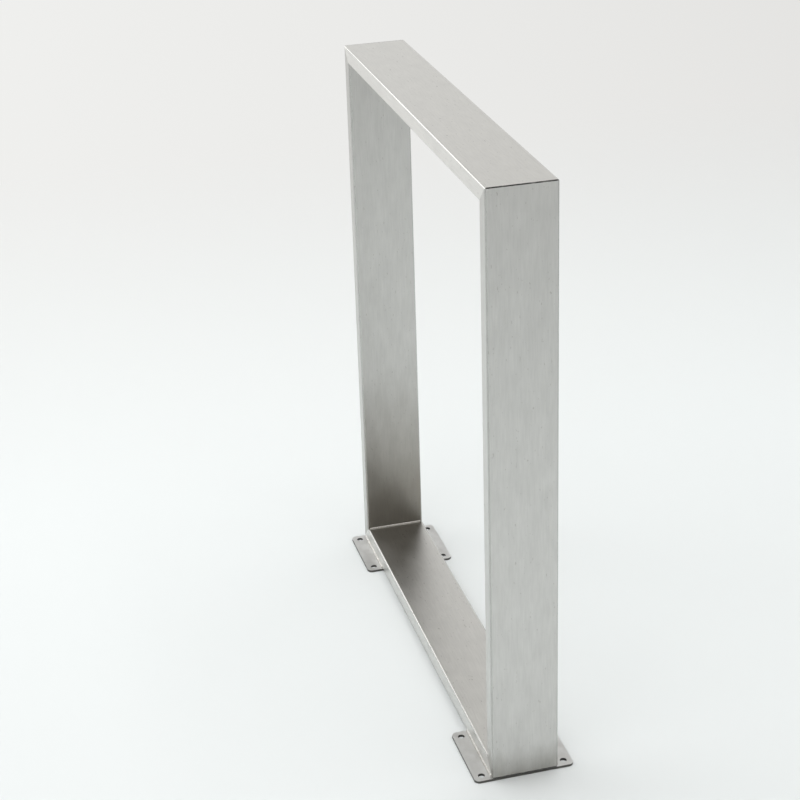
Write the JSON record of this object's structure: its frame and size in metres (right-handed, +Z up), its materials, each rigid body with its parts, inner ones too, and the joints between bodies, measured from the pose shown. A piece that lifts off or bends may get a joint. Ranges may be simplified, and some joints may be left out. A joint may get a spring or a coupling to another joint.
{
  "type": "furniture leg",
  "caption": "Closed rectangular frame leg of flat mitred tube, welded at its corners, on two drilled plates that screw to a table top or floor.",
  "frame": {"origin": "centre of the floor face that the two plates share, under the middle of the frame", "axes": "+X along the frame from the rear post to the front post, +Y across the tube's broad width, +Z up along the posts"},
  "size_m": [0.6, 0.12, 0.72],
  "materials": {
    "rail_steel": "fine satin brushing along the rail",
    "post_steel": "fine satin brushing along the post",
    "plate_steel": "plain mill-finished sheet, sheared edges",
    "inner_weld_metal": "bright bead with fine ripples",
    "ground_weld_metal": "darkened weld metal, ground flush",
    "plate_weld_metal": "bright bead, slightly uneven"
  },
  "bodies": {
    "root": {"top_rail": "rail_steel", "bottom_rail": "rail_steel", "front_post": "post_steel", "rear_post": "post_steel", "front_plate": "plate_steel", "rear_plate": "plate_steel", "inner_weld_top_front": "inner_weld_metal", "inner_weld_top_rear": "inner_weld_metal", "inner_weld_bottom_front": "inner_weld_metal", "inner_weld_bottom_rear": "inner_weld_metal", "outer_weld_top_front": "ground_weld_metal", "outer_weld_top_rear": "ground_weld_metal", "outer_weld_bottom_front": "ground_weld_metal", "outer_weld_bottom_rear": "ground_weld_metal", "plate_weld_front_left": "plate_weld_metal", "plate_weld_front_right": "plate_weld_metal", "plate_weld_rear_left": "plate_weld_metal", "plate_weld_rear_right": "plate_weld_metal"}
  },
  "joints": []
}
